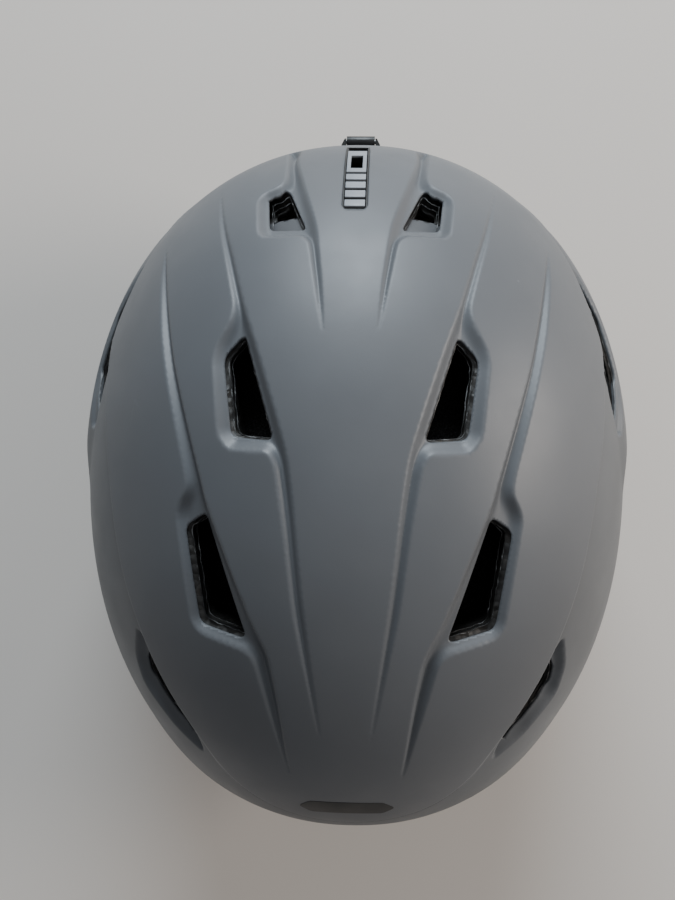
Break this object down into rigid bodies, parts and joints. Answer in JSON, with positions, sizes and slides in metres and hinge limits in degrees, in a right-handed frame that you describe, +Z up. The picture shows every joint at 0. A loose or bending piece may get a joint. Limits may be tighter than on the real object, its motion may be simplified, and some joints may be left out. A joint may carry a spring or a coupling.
{
  "type": "ski helmet",
  "caption": "Snow-sports helmet with a two-piece shell, foam liner, sliding vent shutter, goggle strap clip, rear fit dial, ear pads and buckled chin strap.",
  "frame": {"origin": "centre of the helmet's footprint, on the surface it stands on", "axes": "+Z up, -Y the wearer's front, +X the wearer's left"},
  "size_m": [0.2284, 0.2971, 0.213],
  "materials": {
    "shell": "matt slate grey, in-moulded",
    "shell_lower": "matt slate grey, in-moulded",
    "foam": "expanded polystyrene beads, black",
    "trim": "soft edge trim",
    "black_plastic": "fine texture",
    "grey_plastic": "satin light grey",
    "lining": "brushed knit over foam",
    "webbing": "woven polyester",
    "steel": "plated",
    "emblem": "plain printed badge"
  },
  "bodies": {
    "helmet": {"brow_pad": "lining", "buckle_socket": "black_plastic", "chin_pad": "lining", "chin_strap_left": "webbing", "chin_strap_right": "webbing", "clip_base": "black_plastic", "clip_pin": "steel", "cradle_webs": "black_plastic", "crown_pad": "lining", "dial_cover": "black_plastic", "dial_housing": "black_plastic", "ear_cushion_left": "lining", "ear_cushion_right": "lining", "ear_panel_left": "lining", "ear_panel_right": "lining", "ear_studs": "black_plastic", "foam_liner": "foam", "front_emblem": "emblem", "front_strap_left": "webbing", "front_strap_right": "webbing", "headband_left": "black_plastic", "headband_right": "black_plastic", "hook_patches": "lining", "housing_screws": "steel", "liner_plugs": "black_plastic", "lower_shell": "shell_lower", "nape_pad": "lining", "rear_pad": "lining", "rear_strap_left": "webbing", "rear_strap_right": "webbing", "rim_trim": "trim", "side_pad_left": "lining", "side_pad_right": "lining", "slider_guide": "black_plastic", "strap_anchors": "black_plastic", "strap_joint_left": "black_plastic", "strap_joint_right": "black_plastic", "upper_shell": "shell"},
    "vent_slider": {"slider_knob": "grey_plastic", "vent_shutter": "grey_plastic", "slider_screw": "steel"},
    "goggle_clip": {"clip_arm": "black_plastic"},
    "fit_dial": {"dial_pinion": "black_plastic", "dial_knob": "black_plastic", "dial_screw": "steel"},
    "left_rack": {"rack_left": "black_plastic"},
    "right_rack": {"rack_right": "black_plastic"},
    "buckle_plug": {"buckle_tongue": "black_plastic", "buckle_prongs": "black_plastic", "strap_tail": "webbing", "strap_keeper": "black_plastic"}
  },
  "joints": [
    {"name": "vent_slide", "type": "hinge", "parent": "helmet", "child": "vent_slider", "pos_m": [0, 0.01966, 0.08022], "axis": [-1, 0, 0], "range_deg": [0, 3.6]},
    {"name": "clip_swing", "type": "hinge", "parent": "helmet", "child": "goggle_clip", "pos_m": [0, 0.1461, 0.1], "axis": [1, 0, 0], "range_deg": [0, 80]},
    {"name": "dial_turn", "type": "hinge", "parent": "helmet", "child": "fit_dial", "pos_m": [0, 0.092, 0.02], "axis": [0, -1, 0], "range_deg": [0, 100.2]},
    {"name": "rack_left_slide", "type": "slide", "parent": "helmet", "child": "left_rack", "axis": [-1, 0, 0], "range_m": [0, 0.007], "deforming": ["headband_left"]},
    {"name": "rack_right_slide", "type": "slide", "parent": "helmet", "child": "right_rack", "axis": [1, 0, 0], "range_m": [0, 0.007], "deforming": ["headband_right"]},
    {"name": "buckle_pull", "type": "slide", "parent": "helmet", "child": "buckle_plug", "axis": [1, 0, 0], "range_m": [0, 0.024], "deforming": ["chin_strap_left", "buckle_prongs"]}
  ],
  "couplings": [
    {"joint": "rack_left_slide", "follows": "dial_turn", "m_per_rad": 0.004},
    {"joint": "rack_right_slide", "follows": "dial_turn", "m_per_rad": 0.004}
  ]
}
